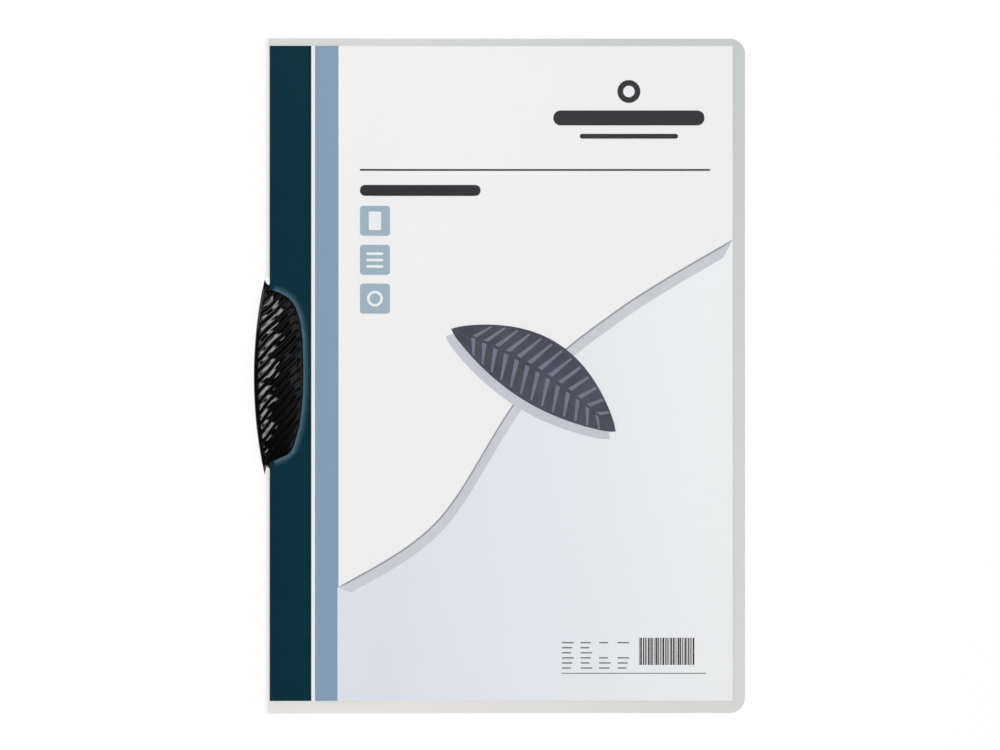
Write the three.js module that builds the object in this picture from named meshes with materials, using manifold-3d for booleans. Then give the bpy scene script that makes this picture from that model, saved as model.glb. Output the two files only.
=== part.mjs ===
// A4 report folder of clear film with a swing-out clip on its spine.
// Units are millimetres, +Z is up, and the folder lies closed on its back.
// X is counted from the back fold of the spine while the pieces are made,
// and the whole group is then moved so that its box is centred on the origin.
import * as THREE from 'three';
import { mergeVertices } from 'three/addons/utils/BufferGeometryUtils.js';
import Module from 'manifold-3d';

const wasm = await Module();
wasm.setup();

// Folder of film
const folderWidth = 218; // fold to free edge
const folderHeight = 306;
const cornerRadius = 7;
const filmThickness = 0.35;
const spineWidth = 3.2; // true width of the strip between the two creases
const spineRun = 2; // how far the leaning strip reaches from the fold
const creaseGap = 0.3; // film left out on each side of the front crease
const coverEndHeight = 0.75; // underside of the front cover at its free edge
const filmLiftStart = 32; // the back sheet leaves the clip's plate here
const filmLiftEnd = 66; // and lies on the table from here

// Paper sheet in the folder
const paperWidth = 210;
const paperHeight = 297;
const paperThickness = 0.2;
const paperLeft = 2.43;
const paperRise = 1.1; // the sheet sits above the middle of the folder
const paperDropStart = 9;
const paperDropEnd = 30;
const darkBandWidth = 18.5;
const bandGap = 2;
const paleBandWidth = 10.2;

// Swing clip: one moulding of a flat plate, an arched wall and a waved wing
const clipReach = 4.63; // how far the wall stands outside the fold
const clipTipLength = 3.9; // spur of the plate past each end of the wing
const clipMiddle = -0.5;
const plateThickness = 1.2;
const wallThickness = 1.5;
const wallEndClearance = 0.3; // between the wall's ends and the fold
const wingHalfLength = 39.5;
const clipHalfLength = wingHalfLength + clipTipLength; // half the outer arch, tip to tip
const wingReach = 17.5; // fold to the free edge
const wingThickness = 1.1;
const wingEdgeHeight = 3.7; // top of the free edge
const wingMidHeight = 6.2; // crest at mid-length
const wingEndHeight = 4.6; // crest at both ends
const wingCrown = 1.8; // power of the fall from crest to free edge
const bandWidth = 1.6; // smooth rounded band along the arch
const waveRelief = 0.42;
const waveLean = 0.55; // ridges are broad on their upper left flank and steep on the other
const wavePitch = 4.85; // along the clip
const waveSlopeTop = 0.84; // rise of a ridge for each millimetre inwards
const waveSlopeEnd = 1.55;
const waveBend = 0.16; // share of a pitch that a ridge wanders
const waveBendLength = 13;
const waveFade = 1.2;

// Pivot
const pivotX = 4.5;
const pivotY = 39.5;
const studRadius = 1.3;
const studClearance = 0.25;
const headRadius = 2.4;
const headThickness = 0.4;
const bossRadius = 3;
const slideGap = 0.1; // between faces that slide past each other
const swingLimit = 65; // degrees, from closed to fully out
const swingClearance = 0.35;
const coverCutGap = 0.5; // cut-out of the front cover, outside the wing

// Heights that follow
const backHeight = plateThickness + slideGap;
const backTop = backHeight + filmThickness;
const headBottom = backTop + slideGap;
const creaseHeight = backHeight + filmThickness / 2 + Math.sqrt(spineWidth ** 2 - spineRun ** 2);
const aboveAll = wingMidHeight + waveRelief + 5;

const wingTop = clipMiddle + wingHalfLength;
const wingBottom = clipMiddle - wingHalfLength;
const wallEnd = new THREE.Vector2(archX(wingTop) - pivotX, wingTop - pivotY);
const wallEndAngle = wallEnd.angle() - THREE.MathUtils.degToRad(swingLimit);
const notchTop = pivotY + wallEnd.length() * Math.sin(wallEndAngle) + swingClearance;
const notchBottom = wingBottom - coverCutGap;

// Wing's free edge from its lower to its upper end, as shares of reach and half length
const wingEdge = new THREE.SplineCurve([
  [0.1, -0.99],
  [0.37, -0.935],
  [0.69, -0.845],
  [0.87, -0.61],
  [0.957, -0.38],
  [0.995, -0.14],
  [1, 0.19],
  [0.955, 0.54],
  [0.825, 0.77],
  [0.66, 0.885],
  [0.43, 0.952],
  [0.14, 0.998],
].map(([reach, along]) => new THREE.Vector2(reach * wingReach, clipMiddle + along * wingHalfLength)));

// Plate behind the back cover, clockwise from the pivot boss to the spur at its lower end
const plateEdge = [
  [15.5, 35.5],
  [23.5, 23],
  [28, 6],
  [28.2, -14],
  [26, -32],
  [22.9, -43.6],
  [19.2, -51.8],
  [13, -56.8],
  [7.6, -54],
  [4.2, -47],
  [3, -42.6],
].map(([x, y]) => new THREE.Vector2(x, y));
const spurRoot = new THREE.Vector2(1.5, -41);

// Circle through both tips of the arch
function archRadius(sagitta, halfLength) {
  return (sagitta ** 2 + halfLength ** 2) / (2 * sagitta);
}

// Outer face of the wall at a height y along the spine
function archX(y) {
  const radius = archRadius(clipReach, clipHalfLength);
  return radius - clipReach - Math.sqrt(radius ** 2 - (y - clipMiddle) ** 2);
}

// Inner face of the wall, which thins out towards its ends
function innerWallX(y) {
  const sagitta = clipReach - wallThickness - wallEndClearance;
  const radius = archRadius(sagitta, wingHalfLength);
  return radius - sagitta - wallEndClearance - Math.sqrt(radius ** 2 - (y - clipMiddle) ** 2);
}

function smooth(from, to, value) {
  return THREE.MathUtils.smoothstep(value, from, to);
}

function toSolid(geometry) {
  const bare = geometry.clone();
  bare.deleteAttribute('normal');
  bare.deleteAttribute('uv');
  const merged = mergeVertices(bare, 1e-5);
  return new wasm.Manifold(new wasm.Mesh({
    numProp: 3,
    vertProperties: merged.attributes.position.array,
    triVerts: new Uint32Array(merged.index.array),
  }));
}

function toGeometry(solid) {
  const mesh = solid.getMesh();
  const geometry = new THREE.BufferGeometry();
  geometry.setAttribute('position', new THREE.BufferAttribute(mesh.vertProperties, 3));
  geometry.setIndex(new THREE.BufferAttribute(mesh.triVerts, 1));
  const faceted = geometry.toNonIndexed();
  faceted.computeVertexNormals();
  return faceted;
}

// Upright prism of an outline drawn in X and Y
function prism(shape, bottom, top, curveSegments = 16) {
  const geometry = new THREE.ExtrudeGeometry(shape, {
    depth: top - bottom,
    bevelEnabled: false,
    curveSegments,
  });
  return geometry.translate(0, 0, bottom);
}

// Bar along Y whose section is drawn in X and Z
function profileBar(points, length, middle = 0) {
  const geometry = new THREE.ExtrudeGeometry(new THREE.Shape(points), {
    depth: length,
    bevelEnabled: false,
  });
  return geometry.rotateX(Math.PI / 2).translate(0, middle + length / 2, 0);
}

function rectangle(left, right, bottom, top) {
  const shape = new THREE.Shape();
  shape.moveTo(left, bottom);
  shape.lineTo(right, bottom);
  shape.lineTo(right, top);
  shape.lineTo(left, top);
  return shape;
}

// Round post standing on the pivot
function pivotPost(radius, bottom, top) {
  const post = new THREE.CylinderGeometry(radius, radius, top - bottom, 32);
  return post.rotateX(Math.PI / 2).translate(pivotX, pivotY, (bottom + top) / 2);
}

// Closed block on a grid: place(u, v, isTop) gives each point
function gridBlock(acrossSteps, alongSteps, place) {
  const geometry = new THREE.BoxGeometry(1, 1, 1, acrossSteps, alongSteps, 1);
  const position = geometry.attributes.position;
  for (let i = 0; i < position.count; i++) {
    const u = Math.round((position.getX(i) + 0.5) * acrossSteps) / acrossSteps;
    const v = Math.round((position.getY(i) + 0.5) * alongSteps) / alongSteps;
    const point = place(u, v, position.getZ(i) > 0);
    position.setXYZ(i, point.x, point.y, point.z);
  }
  return geometry;
}

// Film

// Underside of the back sheet: over the clip's plate, then down on the table
function backSheetHeight(x) {
  return backHeight * (1 - smooth(filmLiftStart, filmLiftEnd, x));
}

function stations(from, to, steps) {
  return Array.from({ length: steps + 1 }, (_, i) => from + (to - from) * i / steps);
}

function folderShape(left) {
  const halfHeight = folderHeight / 2;
  const shape = new THREE.Shape();
  shape.moveTo(left, -halfHeight);
  shape.lineTo(folderWidth - cornerRadius, -halfHeight);
  shape.absarc(folderWidth - cornerRadius, -halfHeight + cornerRadius, cornerRadius, -Math.PI / 2, 0);
  shape.absarc(folderWidth - cornerRadius, halfHeight - cornerRadius, cornerRadius, 0, Math.PI / 2);
  shape.lineTo(left, halfHeight);
  return shape;
}

// Back sheet and the spine strip that leans in over it, folded from one film
function makeBackCover() {
  const crease = new THREE.Vector2(spineRun, creaseHeight);
  const foot = new THREE.Vector2(filmThickness / 2, backHeight + filmThickness / 2);
  const upStrip = crease.clone().sub(foot).normalize();
  const outwards = new THREE.Vector2(-upStrip.y, upStrip.x).multiplyScalar(filmThickness / 2);
  const stripEnd = crease.clone().addScaledVector(upStrip, -creaseGap);
  const innerFoot = foot.clone().sub(outwards);
  const innerCorner = innerFoot.addScaledVector(upStrip, (backTop - innerFoot.y) / upStrip.y);
  const sheetX = [innerCorner.x, ...stations(filmLiftStart, filmLiftEnd, 8), folderWidth];
  const points = [
    new THREE.Vector2(0, backHeight),
    ...sheetX.slice(1).map((x) => new THREE.Vector2(x, backSheetHeight(x))),
    ...sheetX.slice(1).reverse().map((x) => new THREE.Vector2(x, backSheetHeight(x) + filmThickness)),
    innerCorner,
    stripEnd.clone().sub(outwards),
    stripEnd.clone().add(outwards),
    foot.clone().add(outwards),
  ];
  const film = toSolid(profileBar(points, folderHeight + 2));
  const stripNotch = rectangle(-1, spineRun + 1, notchBottom, notchTop);
  const wallNotch = rectangle(-1, pivotX - headRadius + slideGap, pivotY + 0.8, notchTop);
  const cover = film
    .intersect(toSolid(prism(folderShape(-1), -1, aboveAll)))
    .subtract(toSolid(prism(stripNotch, backTop, aboveAll)))
    .subtract(toSolid(prism(wallNotch, -1, aboveAll)))
    .subtract(toSolid(pivotPost(studRadius + studClearance, -1, aboveAll)));
  return toGeometry(cover);
}

// Outline of the front cover, cut out round the wing and its swing
function frontCoverShape() {
  const shape = folderShape(spineRun + creaseGap);
  const around = stations(0.94, 0.01, 30).map((share) => {
    const edge = wingEdge.getPointAt(share);
    const along = wingEdge.getTangentAt(share);
    return new THREE.Vector2(edge.x + along.y * coverCutGap, edge.y - along.x * coverCutGap);
  });
  shape.lineTo(spineRun + creaseGap, notchTop);
  shape.lineTo(pivotX - headRadius + swingClearance, notchTop);
  shape.lineTo(pivotX, pivotY + 2 * coverCutGap);
  around.forEach((point) => shape.lineTo(point.x, point.y));
  shape.lineTo(spineRun + creaseGap, notchBottom);
  return shape;
}

function makeFrontCover() {
  const start = new THREE.Vector2(spineRun + creaseGap, creaseHeight - filmThickness / 2);
  const end = new THREE.Vector2(folderWidth + 1, coverEndHeight);
  const points = [
    start,
    end,
    new THREE.Vector2(end.x, end.y + filmThickness),
    new THREE.Vector2(start.x, start.y + filmThickness),
  ];
  const film = toSolid(profileBar(points, folderHeight + 2));
  return toGeometry(film.intersect(toSolid(prism(frontCoverShape(), -1, aboveAll))));
}

// Paper

// Underside of the paper: over the pivot's head, then down on the back sheet
function paperHeightAt(x) {
  const overHead = (headThickness + slideGap) * (1 - smooth(paperDropStart, paperDropEnd, x));
  return backSheetHeight(x) + filmThickness + slideGap + overHead;
}

// Which print field of the paper a triangle lies in: 0 blank, 1 dark band, 2 pale band
function printField(x, facesUp) {
  const darkEnd = paperLeft + darkBandWidth;
  const paleStart = darkEnd + bandGap;
  if (!facesUp || x > paleStart + paleBandWidth) return 0;
  if (x < darkEnd) return 1;
  return x > paleStart ? 2 : 0;
}

function makeInsertSheet() {
  const darkEnd = paperLeft + darkBandWidth;
  const paleStart = darkEnd + bandGap;
  const paperX = [
    paperLeft,
    paperDropStart,
    ...stations(paperDropStart, darkEnd, 3).slice(1),
    paleStart,
    ...stations(paleStart, filmLiftStart, 2).slice(1),
    paleStart + paleBandWidth,
    ...stations(paleStart + paleBandWidth, filmLiftEnd, 8).slice(1),
    paperLeft + paperWidth,
  ];
  const points = [
    ...paperX.map((x) => new THREE.Vector2(x, paperHeightAt(x))),
    ...paperX.slice().reverse().map((x) => new THREE.Vector2(x, paperHeightAt(x) + paperThickness)),
  ];
  const sheet = profileBar(points, paperHeight, paperRise);
  return groupByPrint(sheet);
}

// Sorts the sheet's triangles so that each print field is one material group
function groupByPrint(sheet) {
  const position = sheet.attributes.position;
  const normal = sheet.attributes.normal;
  const fields = [[], [], []];
  for (let i = 0; i < position.count; i += 3) {
    const x = (position.getX(i) + position.getX(i + 1) + position.getX(i + 2)) / 3;
    fields[printField(x, normal.getZ(i) > 0.5)].push(i, i + 1, i + 2);
  }
  sheet.clearGroups();
  sheet.setIndex(fields.flat());
  let first = 0;
  fields.forEach((field, material) => {
    sheet.addGroup(first, field.length, material);
    first += field.length;
  });
  return sheet;
}

// Clip

// Point of the arch, of the free edge, and between them at a share of the length.
// Past 0 and 1 they run on straight, for the cut that opens both ends.
function wingPoint(across, along) {
  const inside = THREE.MathUtils.clamp(along, 0, 1);
  const past = (along - inside) * 2 * wingHalfLength;
  const y = wingBottom + along * 2 * wingHalfLength;
  const free = wingEdge.getPointAt(inside);
  const arch = new THREE.Vector2(archX(y), y);
  free.y += past;
  return arch.lerp(free, across);
}

function wingWidth(along) {
  return wingPoint(0, along).distanceTo(wingPoint(1, along));
}

// Wing's top without its waves: highest beside the arch, lowest at the free edge
function crownHeight(across, along) {
  const offCentre = 2 * THREE.MathUtils.clamp(along, 0, 1) - 1;
  const crest = wingEndHeight + (wingMidHeight - wingEndHeight) * (1 - offCentre ** 2);
  return wingEdgeHeight + (crest - wingEdgeHeight) * (1 - Math.min(across, 1) ** wingCrown);
}

// Rounded shoulder where the wing turns down into the wall
function shoulderDrop(inwards) {
  const share = THREE.MathUtils.clamp(1 - inwards / bandWidth, 0, 1);
  return bandWidth * (1 - Math.sqrt(1 - share ** 2));
}

// Slanting wavy ridges between the smooth band and the thin rim
function waveHeight(point, inwards, across, along) {
  const slope = THREE.MathUtils.lerp(waveSlopeEnd, waveSlopeTop, along);
  const wander = waveBend * Math.sin(2 * Math.PI * point.x / waveBendLength + point.y / wavePitch);
  const phase = (point.y - slope * point.x) / wavePitch + wander;
  const fade = smooth(bandWidth, bandWidth + waveFade, inwards) * (1 - smooth(0.9, 1, across));
  const turn = 2 * Math.PI * phase;
  return waveRelief * fade * Math.sin(turn + waveLean * Math.sin(turn));
}

function wingBlock() {
  return gridBlock(16, 96, (u, along, isTop) => {
    const across = u ** 1.3;
    const point = wingPoint(across, along);
    const inwards = across * wingWidth(along);
    const top = crownHeight(across, along) - shoulderDrop(inwards)
      + waveHeight(point, inwards, across, along);
    return new THREE.Vector3(point.x, point.y, isTop ? top : 0);
  });
}

// Space between plate and wing that the sheets lie in, open on three sides
function mouthBlock() {
  return gridBlock(8, 24, (u, v, isTop) => {
    const along = THREE.MathUtils.lerp(-0.04, 1.04, v);
    const wall = innerWallX(wingPoint(0, along).y) - wingPoint(0, along).x;
    const across = THREE.MathUtils.lerp(wall / wingWidth(along), 1.3, u);
    const point = wingPoint(across, along);
    const roof = crownHeight(across, along) - wingThickness;
    return new THREE.Vector3(point.x, point.y, isTop ? roof : plateThickness);
  });
}

function plateShape() {
  const radius = archRadius(clipReach, clipHalfLength);
  const halfAngle = Math.asin(clipHalfLength / radius);
  const shape = new THREE.Shape();
  shape.absarc(radius - clipReach, clipMiddle, radius, Math.PI + halfAngle, Math.PI - halfAngle, true);
  shape.absarc(pivotX, pivotY, bossRadius, 0.8 * Math.PI, 0.25 * Math.PI, true);
  shape.splineThru(plateEdge);
  shape.lineTo(spurRoot.x, spurRoot.y);
  return shape;
}

function makeSwingClip() {
  const clip = toSolid(wingBlock())
    .subtract(toSolid(mouthBlock()))
    .add(toSolid(prism(plateShape(), 0, plateThickness, 8)))
    .add(toSolid(pivotPost(studRadius, plateThickness / 2, headBottom + headThickness / 2)))
    .add(toSolid(pivotPost(headRadius, headBottom, headBottom + headThickness)));
  return toGeometry(clip);
}

// Materials

function filmMaterial() {
  return new THREE.MeshStandardMaterial({
    color: 0xe6e8e3,
    roughness: 0.25,
    metalness: 0,
    transparent: true,
    opacity: 0.35,
    side: THREE.DoubleSide,
  });
}

const clipMaterial = new THREE.MeshStandardMaterial({ color: 0x0a0a0c, roughness: 0.18, metalness: 0 });
const printMaterials = [0xf3f4f4, 0x0e3340, 0x859eb2].map(
  (color) => new THREE.MeshStandardMaterial({ color, roughness: 0.6, metalness: 0 }),
);

const folder = new THREE.Group();

function addPiece(name, geometry, material) {
  const piece = new THREE.Mesh(geometry, material);
  piece.name = name;
  folder.add(piece);
}

addPiece('back_cover', makeBackCover(), filmMaterial());
addPiece('insert_sheet', makeInsertSheet(), printMaterials);
addPiece('front_cover', makeFrontCover(), filmMaterial());
addPiece('swing_clip', makeSwingClip(), clipMaterial);

folder.position.x = (clipReach - folderWidth) / 2;

export default folder;
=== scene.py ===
import math

import bmesh
import bpy
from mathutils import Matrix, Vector


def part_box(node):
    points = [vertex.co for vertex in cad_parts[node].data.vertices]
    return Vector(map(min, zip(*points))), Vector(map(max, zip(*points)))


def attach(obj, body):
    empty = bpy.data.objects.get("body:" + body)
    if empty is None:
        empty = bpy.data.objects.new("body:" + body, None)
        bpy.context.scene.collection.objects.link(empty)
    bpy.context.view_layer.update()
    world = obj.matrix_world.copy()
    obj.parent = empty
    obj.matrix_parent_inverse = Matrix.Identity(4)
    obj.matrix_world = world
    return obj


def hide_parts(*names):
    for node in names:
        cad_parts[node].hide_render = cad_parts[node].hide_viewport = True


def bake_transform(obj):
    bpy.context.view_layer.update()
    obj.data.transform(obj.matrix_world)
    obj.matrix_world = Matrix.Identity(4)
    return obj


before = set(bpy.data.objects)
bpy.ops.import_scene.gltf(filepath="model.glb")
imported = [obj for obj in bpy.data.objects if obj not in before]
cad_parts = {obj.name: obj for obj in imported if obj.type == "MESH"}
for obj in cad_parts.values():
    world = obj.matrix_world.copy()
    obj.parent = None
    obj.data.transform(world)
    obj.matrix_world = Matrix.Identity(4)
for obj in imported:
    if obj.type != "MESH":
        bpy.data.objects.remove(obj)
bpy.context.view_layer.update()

# Clip folder, lying on its back and seen from straight above.
# Lengths in the dictionaries are millimetres and angles are degrees, where nothing else is said.
# X is counted from the back fold of the spine.
mm = 0.001
samePoint = 0.0005 * mm  # points nearer than this are one point
onPlane = 0.001 * mm  # points nearer than this lie on a cut
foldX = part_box("back_cover")[0][0]


def at(x, y, z):
    return Vector((foldX + x * mm, y * mm, z * mm))


def smoothStep(low, high, value):
    share = min(max((value - low) / (high - low), 0), 1)
    return share * share * (3 - 2 * share)


# Materials

def linear(hexColour):
    channels = [int(hexColour[i:i + 2], 16) / 255 for i in (1, 3, 5)]
    return tuple(c / 12.92 if c <= 0.04045 else ((c + 0.055) / 1.055) ** 2.4 for c in channels) + (1,)


def addNode(tree, kind, inputs=None, **settings):
    node = tree.nodes.new(kind)
    for name, value in settings.items():
        setattr(node, name, value)
    for socket, value in (inputs or {}).items():
        if isinstance(value, bpy.types.NodeSocket):
            tree.links.new(value, node.inputs[socket])
        else:
            node.inputs[socket].default_value = value
    return node


def startMaterial(name):
    material = bpy.data.materials.new(name)
    material.use_nodes = True
    material.node_tree.nodes.clear()
    return material, material.node_tree


def endMaterial(tree, shader):
    addNode(tree, "ShaderNodeOutputMaterial", {"Surface": shader})


# Cast polypropylene film, lightly frosted: clear, the back sheet greyer towards its upper right, which
# is painted shade
film = {
    "frontTint": "#fcfcfc", "frontHaze": 0.001,
    "backTint": "#fcfbf9", "backShadedTint": "#ebeeee", "backHaze": 0.01,
    "ior": 1.49,
    "grain": 0.35,  # frosting, drawn coarser than the real 0.05 mm so that it shows
    "wave": 45,  # slow unevenness of a thin sheet
    "roughness": 0.16,
    "mirrorCap": 0.25,  # frosting breaks up the mirror at low angles
    "bump": 0.02, "bumpHigh": 0.2,
    "frost": "#e9ebe8",
    "slant": 0.6, "near": -0.13, "far": 0.2,  # near and far are in metres; the tint greys from near to far as painted shade
    "strip": 1.95, "stripLitTint": "#fefefd",  # the narrow strip along the fold is tinted clearer as painted light, so that it reads brighter
}


def filmMaterial(name, tint, haze, shadedTint=None):
    material, tree = startMaterial(name)
    where = addNode(tree, "ShaderNodeTexCoord").outputs["Object"]
    place = addNode(tree, "ShaderNodeSeparateXYZ", {0: where})
    slant = addNode(tree, "ShaderNodeMath", {0: place.outputs["Y"], 1: film["slant"],
                                             2: place.outputs["X"]}, operation="MULTIPLY_ADD")
    share = addNode(tree, "ShaderNodeMapRange", {"Value": slant.outputs[0], "From Min": film["near"],
                                                 "From Max": film["far"]})
    # painted shade: the back sheet's tint greys across the sheet towards its upper right
    body = addNode(tree, "ShaderNodeMix", {0: share.outputs[0], 6: linear(tint),
                                           7: linear(shadedTint or tint)}, data_type="RGBA")
    # painted light: the strip along the fold gets a clearer tint so that it reads brighter
    isStrip = addNode(tree, "ShaderNodeMath", {0: place.outputs["X"], 1: foldX + film["strip"] * mm},
                      operation="LESS_THAN")
    colour = addNode(tree, "ShaderNodeMix", {0: isStrip.outputs[0], 6: body.outputs[2],
                                             7: linear(film["stripLitTint"])}, data_type="RGBA")
    grain = addNode(tree, "ShaderNodeTexNoise", {"Vector": where, "Scale": 1 / (film["grain"] * mm)})
    wave = addNode(tree, "ShaderNodeTexNoise", {"Vector": where, "Scale": 1 / (film["wave"] * mm)})
    uneven = addNode(tree, "ShaderNodeMath", {0: wave.outputs["Fac"], 1: grain.outputs["Fac"]},
                     operation="MULTIPLY")
    bump = addNode(tree, "ShaderNodeBump", {"Height": uneven.outputs[0], "Strength": film["bump"],
                                            "Distance": film["bumpHigh"] * mm})
    mirror = addNode(tree, "ShaderNodeFresnel", {"IOR": film["ior"], "Normal": bump.outputs[0]})
    side = addNode(tree, "ShaderNodeNewGeometry").outputs["Backfacing"]
    outer = addNode(tree, "ShaderNodeMath", {0: 1.0, 1: side}, operation="SUBTRACT")
    capped = addNode(tree, "ShaderNodeMath", {0: mirror.outputs[0], 1: film["mirrorCap"]},
                     operation="MINIMUM")
    shine = addNode(tree, "ShaderNodeMath", {0: capped.outputs[0], 1: outer.outputs[0]},
                    operation="MULTIPLY")
    through = addNode(tree, "ShaderNodeBsdfTransparent", {"Color": colour.outputs[2]})
    frost = addNode(tree, "ShaderNodeBsdfDiffuse", {"Color": linear(film["frost"])})
    gloss = addNode(tree, "ShaderNodeBsdfGlossy", {"Roughness": film["roughness"],
                                                   "Normal": bump.outputs[0]})
    misty = addNode(tree, "ShaderNodeMixShader", {0: haze, 1: through.outputs[0], 2: frost.outputs[0]})
    surface = addNode(tree, "ShaderNodeMixShader", {0: shine.outputs[0], 1: misty.outputs[0],
                                                    2: gloss.outputs[0]})
    endMaterial(tree, surface.outputs[0])
    return material


# Coated paper with the two printed bands along the spine
paper = {
    "left": 2.43,
    "width": 210,
    "low": -147.4,
    "bands": [(0, "#002f3e"), (18.5, "#f3f6fb"), (20.5, "#88a2b8"), (30.7, "#f5f5f6")],
    "back": "#f3f3f1",
    "fibre": 0.8, "bump": 0.05, "bumpHigh": 0.05,
    "roughness": 0.65, "shine": 0.05,
}


def paperMaterial():
    material, tree = startMaterial("coated_paper")
    coords = addNode(tree, "ShaderNodeTexCoord")
    split = addNode(tree, "ShaderNodeSeparateXYZ", {0: coords.outputs["Object"]})
    left = foldX + paper["left"] * mm
    across = addNode(tree, "ShaderNodeMapRange", {"Value": split.outputs["X"], "From Min": left,
                                                  "From Max": left + paper["width"] * mm})
    bands = addNode(tree, "ShaderNodeValToRGB", {"Fac": across.outputs[0]})
    ramp = bands.color_ramp
    ramp.interpolation = "CONSTANT"
    for place, colour in paper["bands"][1:]:
        ramp.elements.new(place / paper["width"]).color = linear(colour)
    ramp.elements[0].color = linear(paper["bands"][0][1])
    ramp.elements[len(ramp.elements) - 1].color = linear(paper["bands"][-1][1])
    up = addNode(tree, "ShaderNodeSeparateXYZ", {0: coords.outputs["Normal"]})
    isFront = addNode(tree, "ShaderNodeMath", {0: up.outputs["Z"], 1: 0.5}, operation="GREATER_THAN")
    colour = addNode(tree, "ShaderNodeMix", {0: isFront.outputs[0], 6: linear(paper["back"]),
                                             7: bands.outputs["Color"]}, data_type="RGBA")
    fibre = addNode(tree, "ShaderNodeTexNoise", {"Vector": coords.outputs["Object"],
                                                 "Scale": 1 / (paper["fibre"] * mm), "Detail": 4})
    bump = addNode(tree, "ShaderNodeBump", {"Height": fibre.outputs["Fac"], "Strength": paper["bump"],
                                            "Distance": paper["bumpHigh"] * mm})
    shader = addNode(tree, "ShaderNodeBsdfPrincipled", {
        "Base Color": colour.outputs[2], "Roughness": paper["roughness"], "Normal": bump.outputs[0],
        "Specular IOR Level": paper["shine"]})
    endMaterial(tree, shader.outputs[0])
    return material


# Offset ink on coated paper: flat colour, a little uneven, or a tint that runs to the right
def inkMaterial(name, hexColour, hexOther=None, spread=60, tintEnds=None):
    material, tree = startMaterial(name)
    where = addNode(tree, "ShaderNodeTexCoord").outputs["Object"]
    cloud = addNode(tree, "ShaderNodeTexNoise", {"Vector": where, "Scale": 1 / (spread * mm)})
    share = cloud.outputs["Fac"]
    if tintEnds:
        split = addNode(tree, "ShaderNodeSeparateXYZ", {0: where})
        share = addNode(tree, "ShaderNodeMapRange", {
            "Value": split.outputs["X"], "From Min": foldX + tintEnds[0] * mm,
            "From Max": foldX + tintEnds[1] * mm}).outputs[0]
    colour = addNode(tree, "ShaderNodeMix", {0: share, 6: linear(hexColour),
                                             7: linear(hexOther or hexColour)}, data_type="RGBA")
    shader = addNode(tree, "ShaderNodeBsdfPrincipled", {
        "Base Color": colour.outputs[2], "Roughness": paper["roughness"],
        "Specular IOR Level": paper["shine"]})
    endMaterial(tree, shader.outputs[0])
    return material


# Film pressed down round the cut-out: frosted, fading outwards; the pale blue band is partly frosting
# and partly painted sheen where the pressed rim catches light
def lipFrostAndSheenMaterial():
    material, tree = startMaterial("pressed_film_edge_frost_and_sheen")
    fade = addNode(tree, "ShaderNodeAttribute", attribute_name="fade")
    share = addNode(tree, "ShaderNodeMath", {0: fade.outputs["Fac"], 1: lip["frost"]},
                    operation="MULTIPLY")
    through = addNode(tree, "ShaderNodeBsdfTransparent")
    # painted sheen: the pale blue frost stands in partly for light caught on the pressed rim
    frost = addNode(tree, "ShaderNodeBsdfDiffuse", {"Color": linear(lip["tint"])})
    surface = addNode(tree, "ShaderNodeMixShader", {0: share.outputs[0], 1: through.outputs[0],
                                                    2: frost.outputs[0]})
    endMaterial(tree, surface.outputs[0])
    return material


# Moulded ABS, polished tool: deep black with a hard shine
plastic = {"colour": "#050506", "ior": 1.53, "flow": 6, "smooth": 0.04, "rough": 0.08}


def clipMaterial():
    material, tree = startMaterial("gloss_black_abs")
    where = addNode(tree, "ShaderNodeTexCoord").outputs["Object"]
    flow = addNode(tree, "ShaderNodeTexNoise", {
        "Vector": where, "Scale": 1 / (plastic["flow"] * mm), "Detail": 3})
    rough = addNode(tree, "ShaderNodeMapRange", {
        "Value": flow.outputs["Fac"], "To Min": plastic["smooth"], "To Max": plastic["rough"]})
    shader = addNode(tree, "ShaderNodeBsdfPrincipled", {
        "Base Color": linear(plastic["colour"]), "Roughness": rough.outputs[0], "IOR": plastic["ior"]})
    endMaterial(tree, shader.outputs[0])
    return material


frontFilm = filmMaterial("clear_film_front", film["frontTint"], film["frontHaze"])
backFilm = filmMaterial("clear_film_back", film["backTint"], film["backHaze"], film["backShadedTint"])
clipBlack = clipMaterial()
coatedPaper = paperMaterial()
print("materials made")


def finishPiece(name, bm, material, body):
    bmesh.ops.recalc_face_normals(bm, faces=bm.faces)
    data = bpy.data.meshes.new(name)
    bm.to_mesh(data)
    bm.free()
    piece = bpy.data.objects.new(name, data)
    bpy.context.scene.collection.objects.link(piece)
    data.materials.append(material)
    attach(piece, body)
    return piece


def dressNode(name, material):
    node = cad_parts[name]
    node.data.materials.clear()
    node.data.materials.append(material)


dressNode("back_cover", backFilm)
dressNode("front_cover", frontFilm)
dressNode("insert_sheet", coatedPaper)

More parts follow.
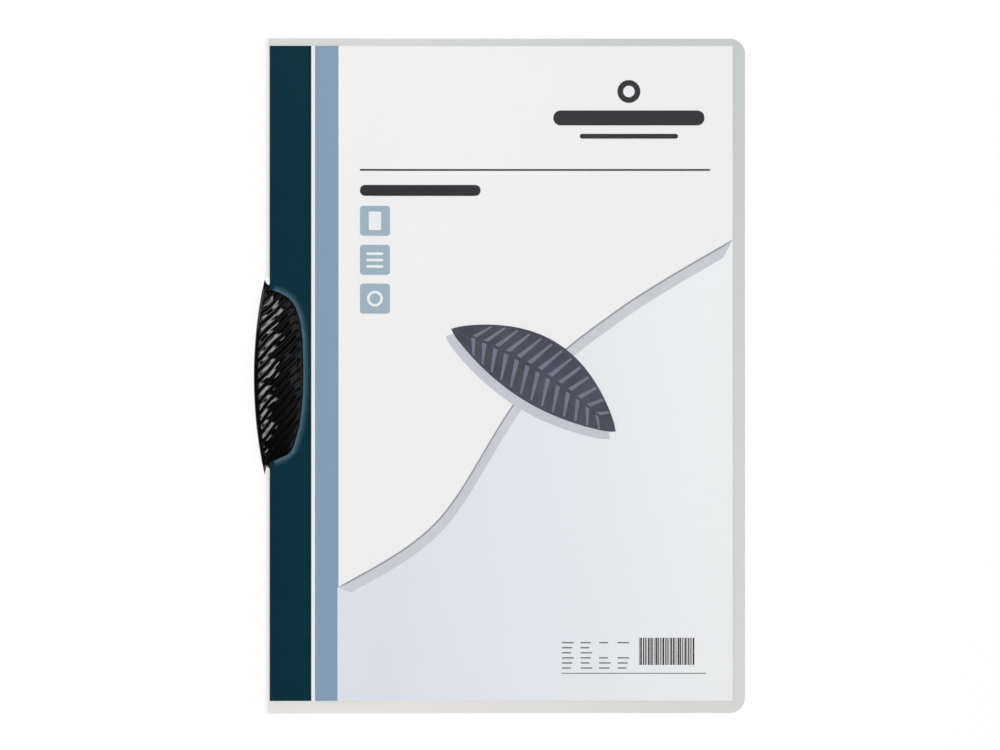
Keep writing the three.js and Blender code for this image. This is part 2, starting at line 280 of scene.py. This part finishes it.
# Clip: one moulding of a plate behind the folder, an arched wall and a waved wing
clip = {
    "reach": 4.63, "halfLength": 44.2, "middle": -0.5,
    "plate": 1.2, "wall": 1.5, "wallEnd": 0.3,
    "wingHalf": 39.5, "wingReach": 17.5, "wingThick": 1.1,
    "edgeTop": 3.7, "midTop": 6.2, "endTop": 4.6, "crown": 1.8,
    "band": 1.6, "rim": 0.45,
    "relief": 0.48, "lean": 0.5, "pitch": 4.85,  # waves, each broader on its upper left flank
    "slopeTop": 0.92, "slopeEnd": 1.4,
    "calm": 0.42, "calmStart": 0.1, "calmEnd": 0.9,  # lower waves towards the free edge
    "swell": 0.11, "swellSlow": 0.47, "swellFast": 1.1, "swellShift": 1,  # no two waves quite alike
    "rise": 0.06,
    "wander": 0.06, "wanderLength": 13, "fade": 1.0, "rimFade": 0.9,
    "edge": [(0.1, -0.99), (0.37, -0.935), (0.69, -0.845), (0.87, -0.61), (0.957, -0.38),
             (0.995, -0.14), (1, 0.19), (0.955, 0.54), (0.825, 0.77), (0.66, 0.885),
             (0.43, 0.952), (0.14, 0.998)],
    "topSteps": 80, "bunching": 1.3, "underSteps": 10, "alongSteps": 420,
    "sunk": 0.4,  # how deep joined parts of the moulding run into each other
    "wallFoot": 1, "sharp": 40,
}
pivot = {"x": 4.5, "y": 39.5, "stud": 1.3, "head": 2.4, "headLow": 1.75, "headThick": 0.4, "boss": 3,
         "headEdge": 0.12, "studEdge": 0.02, "studSunk": 0.1}


def archRadius(sagitta, halfLength):
    return (sagitta ** 2 + halfLength ** 2) / (2 * sagitta)


def arcX(y, sagitta, halfLength, endX=0.0):
    radius = archRadius(sagitta, halfLength)
    return endX + radius - sagitta - math.sqrt(radius ** 2 - (y - clip["middle"]) ** 2)


def outerX(y):
    return arcX(y, clip["reach"], clip["halfLength"])


def innerX(y):
    return arcX(y, clip["reach"] - clip["wall"] - clip["wallEnd"], clip["wingHalf"], -clip["wallEnd"])


def throughPoints(points, steps, fineSteps=24):
    # smooth curve through given points, with its samples evenly spaced along it
    fine = []
    for i in range(len(points) - 1):
        before, start, end, after = (points[min(max(i + k, 0), len(points) - 1)] for k in (-1, 0, 1, 2))
        for j in range(fineSteps):
            t = j / fineSteps
            straight = 2 * start + (end - before) * t
            bent = (2 * before - 5 * start + 4 * end - after) * t ** 2
            twisted = (3 * start - before - 3 * end + after) * t ** 3
            fine.append(0.5 * (straight + bent + twisted))
    fine.append(points[-1])
    lengths = [0.0]
    for a, b in zip(fine, fine[1:]):
        lengths.append(lengths[-1] + (b - a).length)
    result, k = [], 0
    for i in range(steps + 1):
        want = lengths[-1] * i / steps
        while k < len(fine) - 2 and lengths[k + 1] < want:
            k += 1
        result.append(fine[k].lerp(fine[k + 1], (want - lengths[k]) / (lengths[k + 1] - lengths[k])))
    return result


wingEdge = throughPoints([Vector((x * clip["wingReach"], clip["middle"] + y * clip["wingHalf"]))
                          for x, y in clip["edge"]], clip["alongSteps"])


def wingPoint(across, row):
    along = row / clip["alongSteps"]
    y = clip["middle"] + (2 * along - 1) * clip["wingHalf"]
    return Vector((outerX(y), y)).lerp(wingEdge[row], across)


def crownHeight(across, row):
    offCentre = 2 * row / clip["alongSteps"] - 1
    crest = clip["endTop"] + (clip["midTop"] - clip["endTop"]) * (1 - offCentre ** 2)
    return clip["edgeTop"] + (crest - clip["edgeTop"]) * (1 - across ** clip["crown"])


def waveHeight(point, inwards, across, row):
    along = row / clip["alongSteps"]
    slope = clip["slopeEnd"] + (clip["slopeTop"] - clip["slopeEnd"]) * along
    wander = clip["wander"] * math.sin(math.tau * point.x / clip["wanderLength"]
                                       + point.y / clip["pitch"])
    phase = (point.y - slope * point.x) / clip["pitch"] + wander
    fade = smoothStep(clip["band"], clip["band"] + clip["fade"], inwards)
    fade *= 1 - smoothStep(clip["rimFade"], 1, across)
    calm = 1 - clip["calm"] * smoothStep(clip["calmStart"], clip["calmEnd"], across)
    swell = 1 + clip["rise"] * along
    swell += clip["swell"] * math.sin(clip["swellSlow"] * point.y)
    swell += clip["swell"] * math.sin(clip["swellFast"] * point.y + clip["swellShift"])
    even = math.hypot(1, clip["slopeTop"]) / math.hypot(1, slope)  # the same steepness at both ends
    turn = math.tau * phase
    return clip["relief"] * fade * calm * swell * even * math.sin(turn + clip["lean"] * math.sin(turn))


def wingSection(row):
    # one closed slice: up the wall, over the top, round the rim and back underneath
    width = (wingPoint(1, row) - wingPoint(0, row)).length
    wallShare = (innerX(wingPoint(0, row).y) - wingPoint(0, row).x) / width
    foot = clip["plate"] - clip["sunk"]
    points = [(0, foot), (0, clip["plate"] + clip["wallFoot"])]
    for i in range(clip["topSteps"] + 1):
        across = (i / clip["topSteps"]) ** clip["bunching"]
        inwards = across * width
        share = min(max(1 - inwards / clip["band"], 0), 1)
        drop = clip["band"] * (1 - math.sqrt(1 - share ** 2))
        rimShare = min(max(1 - (width - inwards) / clip["rim"], 0), 1)
        rimDrop = clip["rim"] * (1 - math.sqrt(1 - rimShare ** 2))
        wave = waveHeight(wingPoint(across, row), inwards, across, row)
        points.append((across, crownHeight(across, row) - drop - rimDrop + wave))
    for i in range(clip["underSteps"] + 1):
        across = 1 - (1 - wallShare) * i / clip["underSteps"]
        points.append((across, crownHeight(across, row) - clip["wingThick"]))
    points.append((wallShare, foot))
    return [(wingPoint(across, row), height) for across, height in points]


def joinSections(bm, sections):
    # closed slices joined into one skin, with its two ends filled
    rows, columns = len(sections) - 1, len(sections[0])
    grid = bmesh.ops.create_grid(bm, x_segments=columns, y_segments=rows, size=0.5)["verts"]
    for vert in grid:
        column = round((vert.co.x + 0.5) * columns) % columns
        point, height = sections[round((vert.co.y + 0.5) * rows)][column]
        vert.co = at(point.x, point.y, height)
    bmesh.ops.remove_doubles(bm, verts=grid, dist=samePoint)
    bmesh.ops.holes_fill(bm, edges=[edge for edge in bm.edges if edge.is_boundary])


# Plate: arch outside the fold, spike, boss round the stud, long free edge, spur
plate = {
    "edge": [(15.5, 35.5), (23.5, 23), (28, 6), (28.2, -14), (26, -32), (22.9, -43.6), (19.2, -51.8),
             (13, -56.8), (7.6, -54), (4.2, -47), (3, -42.6)],
    "spurRoot": (0.9, -41), "spikeRoot": (1.05, 41.6),
    "bossStart": 144, "bossSweep": 99,
    "archSteps": 60, "bossSteps": 12, "edgeSteps": 80,
    "softEdge": 0.2,
}


def plateOutline():
    centre = Vector((pivot["x"], pivot["y"]))
    outline = []
    for i in range(plate["archSteps"] + 1):
        y = clip["middle"] - clip["halfLength"] + 2 * clip["halfLength"] * i / plate["archSteps"]
        outline.append(Vector((outerX(y), y)))
    outline.append(Vector(plate["spikeRoot"]))
    for i in range(plate["bossSteps"] + 1):
        turn = math.radians(plate["bossStart"] - plate["bossSweep"] * i / plate["bossSteps"])
        outline.append(centre + pivot["boss"] * Vector((math.cos(turn), math.sin(turn))))
    side = throughPoints([outline[-1]] + [Vector(point) for point in plate["edge"]], plate["edgeSteps"])
    return outline + side[1:] + [Vector(plate["spurRoot"])]


def addPlate(bm, outline, low, high, edge):
    # flat plate with softened edges
    verts = [bm.verts.new(at(point.x, point.y, low)) for point in outline]
    face = bm.faces.new(verts)
    top = bmesh.ops.extrude_face_region(bm, geom=[face])["geom"]
    topVerts = [v for v in top if isinstance(v, bmesh.types.BMVert)]
    bmesh.ops.translate(bm, vec=(0, 0, (high - low) * mm), verts=topVerts)
    loops = {e for v in topVerts + verts for e in v.link_edges if e.verts[0].co.z == e.verts[1].co.z}
    bmesh.ops.bevel(bm, geom=list(loops), offset=edge * mm, offset_type="OFFSET", segments=3,
                    profile=0.5, affect="EDGES", material=-1, clamp_overlap=True)


def circle(x, y, radius, count=48):
    turns = [math.tau * i / count for i in range(count)]
    return [Vector((x + radius * math.cos(turn), y + radius * math.sin(turn))) for turn in turns]


def makeClip():
    bm = bmesh.new()
    joinSections(bm, [wingSection(row) for row in range(clip["alongSteps"] + 1)])
    addPlate(bm, plateOutline(), 0, clip["plate"], plate["softEdge"])
    addPlate(bm, circle(pivot["x"], pivot["y"], pivot["stud"]), clip["plate"] - clip["sunk"],
             pivot["headLow"] + pivot["studSunk"], pivot["studEdge"])
    addPlate(bm, circle(pivot["x"], pivot["y"], pivot["head"]), pivot["headLow"],
             pivot["headLow"] + pivot["headThick"], pivot["headEdge"])
    piece = finishPiece("clip_moulding", bm, clipBlack, "clip")
    for face in piece.data.polygons:
        face.use_smooth = True
    piece.data.set_sharp_from_angle(angle=math.radians(clip["sharp"]))
    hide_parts("swing_clip")


makeClip()
print("clip made")

# Crease of the film: bends where the front cover turns on the spine strip
crease = {
    "x": 2.0, "z": 3.973, "thick": 0.35, "stripWidth": 3.2, "slope": 0.0148,
    "reach": 0.42, "steps": 8, "blend": 0.3,
    "low": -153, "notchLow": -40.5, "notchHigh": 44.43, "high": 153,  # it stops at the clip
}


def makeCrease(name, low, high):
    bm = bmesh.new()
    stripRise = math.sqrt(crease["stripWidth"] ** 2 - crease["x"] ** 2)
    stripWay = Vector((-(crease["x"] - crease["thick"] / 2), -stripRise)).normalized()
    coverWay = Vector((1, -crease["slope"])).normalized()
    steps = crease["steps"]
    middle = []
    for i in range(steps + 1):
        t = i / steps
        start, end = stripWay * crease["reach"], coverWay * crease["reach"]
        middle.append(start * (1 - t) ** 2 + end * t ** 2)
    outline = []
    for side in (0.5, -0.5):
        row = []
        for i, point in enumerate(middle):
            way = (middle[min(i + 1, steps)] - middle[max(i - 1, 0)]).normalized()
            across = Vector((-way.y, way.x)) * crease["thick"] * side
            row.append(point + across)
        outline += row if side > 0 else row[::-1]
    verts = [bm.verts.new(at(crease["x"] + p.x, low, crease["z"] + p.y)) for p in outline]
    face = bm.faces.new(verts)
    moved = bmesh.ops.extrude_face_region(bm, geom=[face])["geom"]
    bmesh.ops.translate(bm, vec=(0, (high - low) * mm, 0),
                        verts=[v for v in moved if isinstance(v, bmesh.types.BMVert)])
    piece = finishPiece(name, bm, frontFilm, "folder")
    piece.parent = None
    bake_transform(piece)


# Lip of the front cover round the clip's wing: offset outwards from the wing's edge and height; its
# frost and tint are partly frosting and partly painted sheen of the pressed rim
lip = {"outline": [(0.3, 0.02), (0.45, 0.06), (0.8, 0.06), (1.3, 0.05), (1.8, 0.04), (2.3, 0.03),
                   (2.9, 0.02), (3.5, 0.015), (3.5, 0.01), (0.5, 0.01)],
       "frost": 0.11, "tint": "#a9dcff", "fadeStart": -0.6, "fadeEnd": 3.3, "fadePower": 1.5,
       "startX": 4.2, "startFade": 2, "step": 2}


def coverTop(x):
    return crease["z"] + crease["thick"] / 2 - crease["slope"] * (x - crease["x"])


def makeLip():
    sections = []
    for row in range(lip["step"], clip["alongSteps"] - lip["step"], lip["step"]):
        along = (wingEdge[row + 1] - wingEdge[row - 1]).normalized()
        outwards = Vector((along.y, -along.x))
        places = [wingEdge[row] + outwards * away for away, rise in lip["outline"]]
        if min(place.x for place in places) > lip["startX"]:
            sections.append([(place, coverTop(place.x) + rise)
                             for place, (away, rise) in zip(places, lip["outline"])])
    bm = bmesh.new()
    joinSections(bm, sections)
    piece = finishPiece("cover_lip", bm, lipFrostAndSheenMaterial(), "cover")
    # the fade shapes the frosted band with its painted sheen, strongest next to the wing
    fade = piece.data.attributes.new("fade", "FLOAT", "POINT")
    edge = [at(point.x, point.y, 0) for point in wingEdge]
    for vert, value in zip(piece.data.vertices, fade.data):
        away = min((Vector((vert.co.x, vert.co.y, 0)) - point).length for point in edge) / mm
        start = smoothStep(lip["startX"] - lip["startFade"], lip["startX"] + lip["startFade"],
                           (vert.co.x - foldX) / mm)
        nearness = 1 - smoothStep(lip["fadeStart"], lip["fadeEnd"], away)
        value.value = start * nearness ** lip["fadePower"]


# Print: thin ink fields on the paper, which bends up near the spine
ink = {
    "lift": 0.02, "thick": 0.018,
    "filmLift": 1.3, "liftStart": 32, "liftEnd": 66, "overHead": 0.5, "headStart": 9, "headEnd": 30,
    "underSheet": 0.45, "sheet": 0.2,
    "bends": range(30, 67, 4),  # fields are cut here so that they can follow the paper
}


def paperTop(x):
    lifted = ink["filmLift"] * (1 - smoothStep(ink["liftStart"], ink["liftEnd"], x))
    overHead = ink["overHead"] * (1 - smoothStep(ink["headStart"], ink["headEnd"], x))
    return lifted + overHead + ink["underSheet"] + ink["sheet"]


def inkField(bm, points, layer):
    verts = [bm.verts.new(at(x, y, 0)) for x, y in points]
    face = bm.faces.new(verts)
    if face.normal.z < 0:
        face.normal_flip()
    geometry = [face, *face.verts, *face.edges]
    for x in ink["bends"]:
        cut = bmesh.ops.bisect_plane(bm, geom=geometry, dist=onPlane, plane_co=at(x, 0, 0),
                                     plane_no=(1, 0, 0))
        geometry = cut["geom"]
    faces = [g for g in geometry if isinstance(g, bmesh.types.BMFace)]
    top = bmesh.ops.extrude_face_region(bm, geom=faces)["geom"]
    upper = {g for g in top if isinstance(g, bmesh.types.BMVert)}
    lower = {v for f in faces if f.is_valid for v in f.verts}
    rise = ink["lift"] * layer
    for group, height in ((upper, rise), (lower, rise - ink["thick"])):
        for vert in group:
            vert.co.z = (paperTop((vert.co.x - foldX) / mm) + height) * mm


def plainBox(left, low, right, high):
    return [(left, low), (right, low), (right, high), (left, high)]


def roundedBox(left, low, right, high, radius, steps=6):
    points = []
    corners = ((right - radius, high - radius, 0), (left + radius, high - radius, 1),
               (left + radius, low + radius, 2), (right - radius, low + radius, 3))
    for x, y, quarter in corners:
        for i in range(steps + 1):
            angle = math.pi / 2 * (quarter + i / steps)
            points.append((x + radius * math.cos(angle), y + radius * math.sin(angle)))
    return points


def printPiece(name, shapes, material, layer):
    # layer 1 lies on the paper, each next one higher
    bm = bmesh.new()
    for shape in shapes:
        inkField(bm, shape, layer)
    finishPiece(name, bm, material, "folder")


darkInk = inkMaterial("ink_dark_grey", "#333336")
greyInk = inkMaterial("ink_grey", "#747579")
iconInk = inkMaterial("ink_blue_grey", "#a2b7c6")
paleInk = inkMaterial("ink_pale_blue", "#e3e8f0", "#f4f5f6", tintEnds=(60, 200))
shadeInk = inkMaterial("ink_shade", "#c4c8d0", "#d9dce2", spread=25)
lineInk = inkMaterial("ink_line", "#9b9fa9")
dimInk = inkMaterial("ink_dim", "#bfc4ce", "#cfd3db", spread=25)
leafInk = inkMaterial("ink_leaf", "#3c3c48", "#5b5d6c", spread=14)
ribInk = inkMaterial("ink_rib", "#83869a", "#6a6d7e", spread=9)
whiteInk = inkMaterial("bare_paper", "#f1f2f4")

# Plain shapes at the top of the sheet
layout = {
    "rule": (43.3, 93, 202.1, 93.8),
    "heading": (43.3, 81.6, 98, 86.6, 2.4),
    "topBars": [(131, 113.6, 199.6, 120.4, 3.3), (143, 107.6, 187.6, 109.8, 1.1)],
    "ring": (165.3, 129), "ringOuter": 5.2, "ringInner": 2.6,
}


def makeRules():
    shapes = [plainBox(*layout["rule"]), roundedBox(*layout["heading"])]
    shapes.append(circle(*layout["ring"], layout["ringOuter"]))
    shapes += [roundedBox(*bar) for bar in layout["topBars"]]
    printPiece("print_dark", shapes, darkInk, 2)
    printPiece("print_ring_middle", [circle(*layout["ring"], layout["ringInner"])], whiteInk, 3)


# Squares with plain marks; a mark is left, low, right, high and radius inside its square
icons = {
    "left": 43.3, "tops": [77.1, 59.4, 41.8], "side": 13.6, "round": 1.4,
    "marks": [[(4, 2.6, 9.6, 11, 0.5)],
              [(3, 3.2 + 2.9 * k, 10.6, 4.4 + 2.9 * k, 0.5) for k in range(3)],
              []],
    "discOuter": 3.6, "discInner": 2.4,
}


def makeIcons():
    side, x = icons["side"], icons["left"]
    squares, marks = [], []
    for top, boxes in zip(icons["tops"], icons["marks"]):
        y = top - side
        squares.append(roundedBox(x, y, x + side, top, icons["round"]))
        for left, low, right, high, radius in boxes:
            marks.append(roundedBox(x + left, y + low, x + right, y + high, radius))
    disc = (x + side / 2, icons["tops"][-1] - side / 2)
    marks.append(circle(*disc, icons["discOuter"]))
    printPiece("print_squares", squares, iconInk, 2)
    printPiece("print_marks", marks, whiteInk, 3)
    printPiece("print_dot", [circle(*disc, icons["discInner"])], iconInk, 4)


# Plain lines and bars at the foot
foot = {
    "line": (134.5, -135.2, 200.3, -134.8),
    "left": 135, "top": -121.4, "rowGap": 2.3, "words": [4, 2, 2, 4, 4, 4],
    "wordGap": 8.4, "wordWide": 5.2, "wordLess": 0.6, "wordHigh": 0.6,
    "bars": 30, "barsLeft": 170, "barsLow": -131.2, "barsHigh": -118.9,
    "barWide": 0.24, "barMore": 0.17, "gapWide": 0.22, "gapMore": 0.13,
}


def makeLabel():
    lines, bars = [plainBox(*foot["line"])], []
    for row, words in enumerate(foot["words"]):
        low = foot["top"] - foot["rowGap"] * row
        for k in range(words):
            start = foot["left"] + foot["wordGap"] * k
            wide = foot["wordWide"] - foot["wordLess"] * ((row + k) % 3)
            lines.append(plainBox(start, low, start + wide, low + foot["wordHigh"]))
    x = foot["barsLeft"]
    for k in range(foot["bars"]):
        wide = foot["barWide"] + foot["barMore"] * ((k * 7) % 4)
        bars.append(plainBox(x, foot["barsLow"], x + wide, foot["barsHigh"]))
        x += wide + foot["gapWide"] + foot["gapMore"] * ((k * 5) % 3)
    printPiece("print_label", lines, greyInk, 2)
    printPiece("print_bars", bars, darkInk, 2)


# Picture: a pale field with a curved edge and a ribbed leaf
picture = {
    "left": paper["left"] + paper["bands"][-1][0], "leftY": -96,
    "right": paper["left"] + paper["width"], "rightY": 62,
    "edge": [(78, -66), (118, -6), (160, 30)], "edgeSteps": 60,
    "band": (2.6, -4.4), "line": (0.4, -0.7),
    "leaf": (122, -2), "long": 44, "wide": 15, "bend": 5, "turn": -32, "blunt": 0.8,
    "leafSteps": 40, "leafShade": (-2.6, -3.4),
    "ribs": 13, "ribStart": -0.78, "ribGap": 0.125,
    "rib": [(0, 0.06), (0.05, 0.06), (0.13, 0.88), (0.11, 0.9)],
    "midRib": [(-0.95, 0.02), (0.95, 0.02), (0.95, -0.02), (-0.95, -0.02)],
}


def leafPoint(t, side):
    # t runs from tip to tip, side from edge to edge
    half = 0
    if abs(t) < 1:
        half = picture["wide"] * math.sin(math.pi * (0.5 + 0.5 * t)) ** picture["blunt"]
    x = t * picture["long"]
    y = side * half + picture["bend"] * (1 - t * t)
    turn = math.radians(picture["turn"])
    return (picture["leaf"][0] + x * math.cos(turn) - y * math.sin(turn),
            picture["leaf"][1] + x * math.sin(turn) + y * math.cos(turn))


def makePicture():
    corners = [(picture["left"], picture["leftY"]), *picture["edge"],
               (picture["right"], picture["rightY"])]
    curve = throughPoints([Vector(corner) for corner in corners], picture["edgeSteps"])
    edge = [(point.x, point.y) for point in curve]
    field = edge + [(picture["right"], paper["low"]), (picture["left"], paper["low"])]
    printPiece("print_field", [field], paleInk, 1)
    right, up = picture["band"]
    band = edge + [(x + right, y + up) for x, y in reversed(edge[1:-2])]
    printPiece("print_edge", [band], shadeInk, 2)
    right, up = picture["line"]
    line = edge + [(x + right, y + up) for x, y in reversed(edge[1:-1])]
    printPiece("print_edge_line", [line], lineInk, 2.5)
    steps = picture["leafSteps"]
    leaf = [leafPoint(-1 + 2 * i / steps, 1) for i in range(steps + 1)]
    leaf += [leafPoint(1 - 2 * i / steps, -1) for i in range(1, steps)]
    right, up = picture["leafShade"]
    printPiece("print_leaf_shade", [[(x + right, y + up) for x, y in leaf]], dimInk, 3)
    printPiece("print_leaf", [leaf], leafInk, 4)
    ribs = []
    for k in range(picture["ribs"]):
        t = picture["ribStart"] + picture["ribGap"] * k
        for side in (1, -1):
            ribs.append([leafPoint(t + ahead, side * out) for ahead, out in picture["rib"]])
    ribs.append([leafPoint(*point) for point in picture["midRib"]])
    printPiece("print_ribs", ribs, ribInk, 5)


makeRules()
makeIcons()
makeLabel()
makePicture()
print("print made")

makeCrease("crease_low", crease["low"], crease["notchLow"])
makeCrease("crease_high", crease["notchHigh"], crease["high"])
makeLip()
print("crease and lip made")

# Studio: white table, a soft lamp, two cards that only gloss shows, a world that is dark in gloss
studio = {
    "fieldWide": 453.96, "lens": 120, "sensor": 36, "centreX": 106.82, "centreY": 0.36,
    "cameraEnd": 20, "table": 14,  # metres
    "floorLow": -0.02, "white": 0.8, "paint": (0.9, 0.9, 0.9, 1),
    "fill": 1.12, "mirrored": 0.02, "seen": 1.25,
    "lampAway": 1.4,  # metres
    "lamps": {
        "softbox_left": {"azimuth": 155, "elevation": 40, "size": (0.5, 0.9), "watts": 9,
                         "mirrored": False},
        "card_bright": {"azimuth": 142, "elevation": 43.5, "size": (0.9, 0.25), "watts": 4.5,
                        "mirrored": True},
        "card_dim": {"azimuth": 32, "elevation": 67, "size": (2.2, 0.8), "watts": 2.4,
                     "mirrored": True},
    },
}


def makeCamera():
    data = bpy.data.cameras.new("camera")
    data.lens = studio["lens"]
    data.sensor_width = studio["sensor"]
    data.clip_end = studio["cameraEnd"]
    camera = bpy.data.objects.new("camera", data)
    high = studio["fieldWide"] * studio["lens"] / studio["sensor"]
    camera.location = at(studio["centreX"], studio["centreY"], high)
    bpy.context.scene.collection.objects.link(camera)
    bpy.context.scene.camera = camera


def seenStraight(tree):
    # camera, mirror and see-through rays
    path = addNode(tree, "ShaderNodeLightPath")
    two = addNode(tree, "ShaderNodeMath", {0: path.outputs["Is Camera Ray"],
                                           1: path.outputs["Is Glossy Ray"]}, operation="MAXIMUM")
    three = addNode(tree, "ShaderNodeMath", {0: two.outputs[0], 1: path.outputs["Is Transmission Ray"]},
                    operation="MAXIMUM")
    return three.outputs[0]


def makeTable():
    bm = bmesh.new()
    bmesh.ops.create_grid(bm, x_segments=1, y_segments=1, size=studio["table"] / 2)
    bmesh.ops.translate(bm, vec=(0, 0, studio["floorLow"] * mm), verts=bm.verts)
    data = bpy.data.meshes.new("table")
    bm.to_mesh(data)
    bm.free()
    table = bpy.data.objects.new("table", data)
    bpy.context.scene.collection.objects.link(table)
    material, tree = startMaterial("white_table")
    share = addNode(tree, "ShaderNodeMath", {0: seenStraight(tree), 1: studio["white"]},
                    operation="MULTIPLY")
    lit = addNode(tree, "ShaderNodeBsdfDiffuse", {"Color": studio["paint"]})
    white = addNode(tree, "ShaderNodeEmission", {"Strength": 1.0})
    surface = addNode(tree, "ShaderNodeMixShader", {0: share.outputs[0], 1: lit.outputs[0],
                                                    2: white.outputs[0]})
    endMaterial(tree, surface.outputs[0])
    data.materials.append(material)


def makeLamp(name, azimuth, elevation, size, watts, mirrored):
    # a softbox lights the scene, a mirrored card only shows in gloss
    data = bpy.data.lights.new(name, "AREA")
    data.shape = "RECTANGLE"
    data.size, data.size_y = size
    data.energy = watts
    lamp = bpy.data.objects.new(name, data)
    turn, tilt = math.radians(azimuth), math.radians(elevation)
    place = studio["lampAway"] * Vector((
        math.cos(turn) * math.cos(tilt), math.sin(turn) * math.cos(tilt), math.sin(tilt)))
    lamp.location = at(0, 0, 0) + place
    lamp.rotation_euler = (-place).to_track_quat("-Z", "Y").to_euler()
    lamp.visible_diffuse = not mirrored
    lamp.visible_glossy = mirrored
    bpy.context.scene.collection.objects.link(lamp)


def makeWorld():
    world = bpy.data.worlds.new("studio")
    world.use_nodes = True
    tree = world.node_tree
    tree.nodes.clear()
    path = addNode(tree, "ShaderNodeLightPath")
    strength = addNode(tree, "ShaderNodeMapRange", {
        "Value": path.outputs["Is Glossy Ray"], "To Min": studio["fill"], "To Max": studio["mirrored"]})
    seen = addNode(tree, "ShaderNodeMapRange", {
        "Value": path.outputs["Is Camera Ray"], "To Min": strength.outputs[0],
        "To Max": studio["seen"]})
    back = addNode(tree, "ShaderNodeBackground", {"Strength": seen.outputs[0]})
    addNode(tree, "ShaderNodeOutputWorld", {"Surface": back.outputs[0]})
    bpy.context.scene.world = world


makeCamera()
makeTable()
for name, lamp in studio["lamps"].items():
    makeLamp(name, **lamp)
makeWorld()
bpy.context.scene.view_settings.view_transform = "Standard"
print("studio made")
